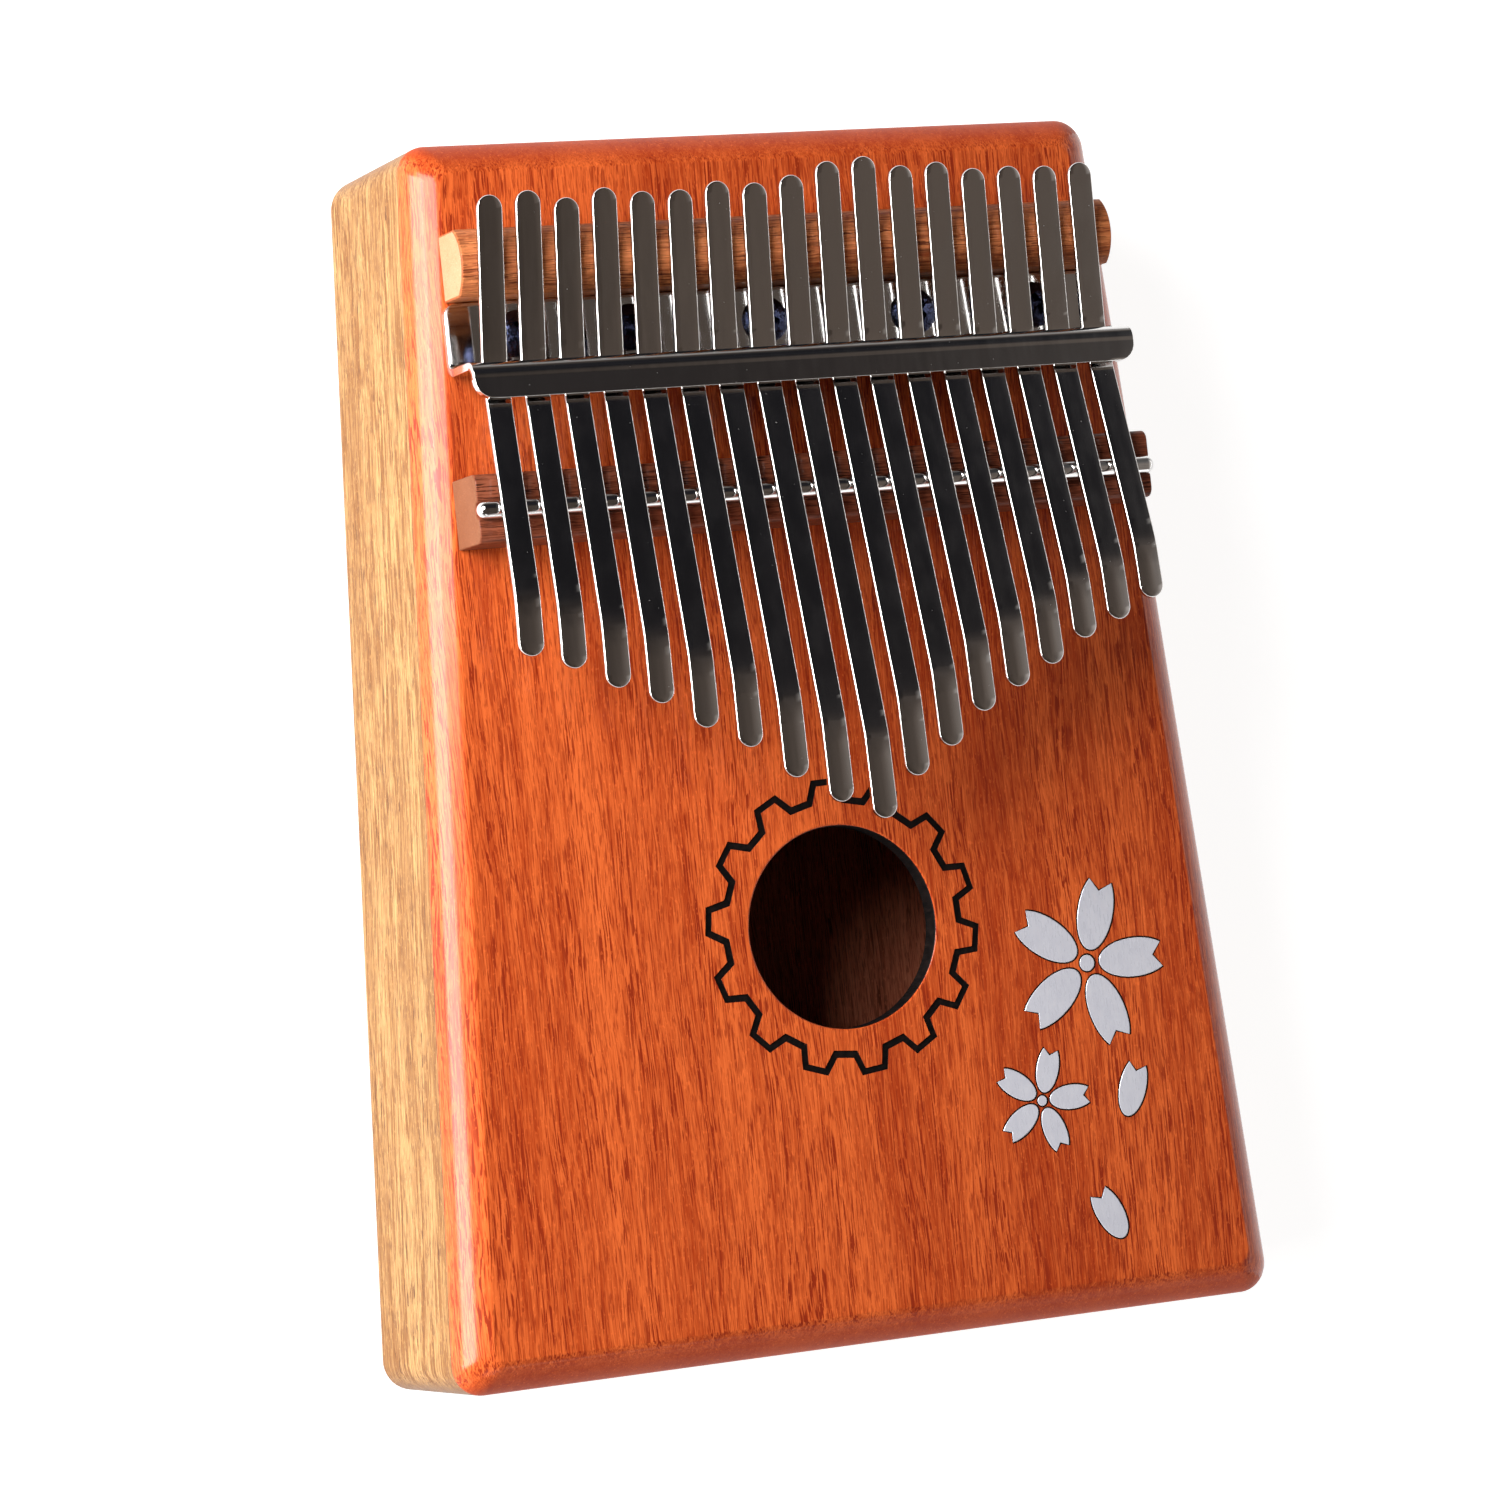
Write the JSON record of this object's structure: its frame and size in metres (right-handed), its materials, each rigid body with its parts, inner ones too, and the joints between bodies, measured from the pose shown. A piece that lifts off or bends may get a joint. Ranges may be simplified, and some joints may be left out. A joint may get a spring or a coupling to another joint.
{
  "type": "box kalimba",
  "caption": "Box kalimba: tapered hollow wood body with a sound hole, bridges, a clamped pressure bracket and plucked steel tines.",
  "frame": {"origin": "middle of the back board's outer face, under the middle of the body's box", "axes": "+X to the player's right across the tines, +Y along the tines to their tuning ends, +Z out of the face"},
  "size_m": [0.1354, 0.185, 0.0603],
  "materials": {
    "face_mahogany": "gloss lacquer over orange-red mahogany, dark burnt gear line",
    "side_wood": "gloss lacquer over pale straight-grained wood",
    "back_wood": "gloss lacquer outside, bare inside",
    "brace_wood": "bare sawn wood",
    "rear_bridge_wood": "bare sanded wood",
    "front_bridge_wood": "bare sanded reddish wood",
    "chrome": "bright chrome plate",
    "tine_steel": "polished spring steel with fine lengthwise polish lines",
    "screw_steel": "blue-black oxide",
    "shell": "pale shell-like inlay with a soft pearl sheen"
  },
  "bodies": {
    "body": {"soundboard": "face_mahogany", "back_board": "back_wood", "left_side": "side_wood", "right_side": "side_wood", "head_board": "side_wood", "tail_board": "side_wood", "cross_brace": "brace_wood", "rear_bridge": "rear_bridge_wood", "front_bridge": "front_bridge_wood", "saddle_rod": "chrome", "pressure_bracket": "chrome", "bracket_screws": "screw_steel", "big_flower_inlay": "shell", "small_flower_inlay": "shell", "loose_petal_inlays": "shell"},
    "tine_01": {"tine_01": "tine_steel"},
    "tine_02": {"tine_02": "tine_steel"},
    "tine_03": {"tine_03": "tine_steel"},
    "tine_04": {"tine_04": "tine_steel"},
    "tine_05": {"tine_05": "tine_steel"},
    "tine_06": {"tine_06": "tine_steel"},
    "tine_07": {"tine_07": "tine_steel"},
    "tine_08": {"tine_08": "tine_steel"},
    "tine_09": {"tine_09": "tine_steel"},
    "tine_10": {"tine_10": "tine_steel"},
    "tine_11": {"tine_11": "tine_steel"},
    "tine_12": {"tine_12": "tine_steel"},
    "tine_13": {"tine_13": "tine_steel"},
    "tine_14": {"tine_14": "tine_steel"},
    "tine_15": {"tine_15": "tine_steel"},
    "tine_16": {"tine_16": "tine_steel"},
    "tine_17": {"tine_17": "tine_steel"}
  },
  "joints": [
    {"name": "tine_01_flex", "type": "hinge", "parent": "body", "child": "tine_01", "pos_m": [-0.05056, 0.0363, 0.05081], "axis": [1, 0, 0], "range_deg": [0, 1.5], "stiffness_Nm_per_rad": 2},
    {"name": "tine_02_flex", "type": "hinge", "parent": "body", "child": "tine_02", "pos_m": [-0.04429, 0.0363, 0.05081], "axis": [1, 0, 0], "range_deg": [0, 1.5], "stiffness_Nm_per_rad": 2},
    {"name": "tine_03_flex", "type": "hinge", "parent": "body", "child": "tine_03", "pos_m": [-0.03802, 0.0363, 0.05081], "axis": [1, 0, 0], "range_deg": [0, 1.5], "stiffness_Nm_per_rad": 2},
    {"name": "tine_04_flex", "type": "hinge", "parent": "body", "child": "tine_04", "pos_m": [-0.03175, 0.0363, 0.05081], "axis": [1, 0, 0], "range_deg": [0, 1.5], "stiffness_Nm_per_rad": 2},
    {"name": "tine_05_flex", "type": "hinge", "parent": "body", "child": "tine_05", "pos_m": [-0.02548, 0.0363, 0.05081], "axis": [1, 0, 0], "range_deg": [0, 1.5], "stiffness_Nm_per_rad": 2},
    {"name": "tine_06_flex", "type": "hinge", "parent": "body", "child": "tine_06", "pos_m": [-0.01921, 0.0363, 0.05081], "axis": [1, 0, 0], "range_deg": [0, 1.5], "stiffness_Nm_per_rad": 2},
    {"name": "tine_07_flex", "type": "hinge", "parent": "body", "child": "tine_07", "pos_m": [-0.01294, 0.0363, 0.05081], "axis": [1, 0, 0], "range_deg": [0, 1.5], "stiffness_Nm_per_rad": 2},
    {"name": "tine_08_flex", "type": "hinge", "parent": "body", "child": "tine_08", "pos_m": [-0.00667, 0.0363, 0.05081], "axis": [1, 0, 0], "range_deg": [0, 1.5], "stiffness_Nm_per_rad": 2},
    {"name": "tine_09_flex", "type": "hinge", "parent": "body", "child": "tine_09", "pos_m": [-0.0004, 0.0363, 0.05081], "axis": [1, 0, 0], "range_deg": [0, 1.5], "stiffness_Nm_per_rad": 2},
    {"name": "tine_10_flex", "type": "hinge", "parent": "body", "child": "tine_10", "pos_m": [0.00587, 0.0363, 0.05081], "axis": [1, 0, 0], "range_deg": [0, 1.5], "stiffness_Nm_per_rad": 2},
    {"name": "tine_11_flex", "type": "hinge", "parent": "body", "child": "tine_11", "pos_m": [0.01214, 0.0363, 0.05081], "axis": [1, 0, 0], "range_deg": [0, 1.5], "stiffness_Nm_per_rad": 2},
    {"name": "tine_12_flex", "type": "hinge", "parent": "body", "child": "tine_12", "pos_m": [0.01841, 0.0363, 0.05081], "axis": [1, 0, 0], "range_deg": [0, 1.5], "stiffness_Nm_per_rad": 2},
    {"name": "tine_13_flex", "type": "hinge", "parent": "body", "child": "tine_13", "pos_m": [0.02468, 0.0363, 0.05081], "axis": [1, 0, 0], "range_deg": [0, 1.5], "stiffness_Nm_per_rad": 2},
    {"name": "tine_14_flex", "type": "hinge", "parent": "body", "child": "tine_14", "pos_m": [0.03095, 0.0363, 0.05081], "axis": [1, 0, 0], "range_deg": [0, 1.5], "stiffness_Nm_per_rad": 2},
    {"name": "tine_15_flex", "type": "hinge", "parent": "body", "child": "tine_15", "pos_m": [0.03722, 0.0363, 0.05081], "axis": [1, 0, 0], "range_deg": [0, 1.5], "stiffness_Nm_per_rad": 2},
    {"name": "tine_16_flex", "type": "hinge", "parent": "body", "child": "tine_16", "pos_m": [0.04349, 0.0363, 0.05081], "axis": [1, 0, 0], "range_deg": [0, 1.5], "stiffness_Nm_per_rad": 2},
    {"name": "tine_17_flex", "type": "hinge", "parent": "body", "child": "tine_17", "pos_m": [0.04976, 0.0363, 0.05081], "axis": [1, 0, 0], "range_deg": [0, 1.5], "stiffness_Nm_per_rad": 2}
  ]
}
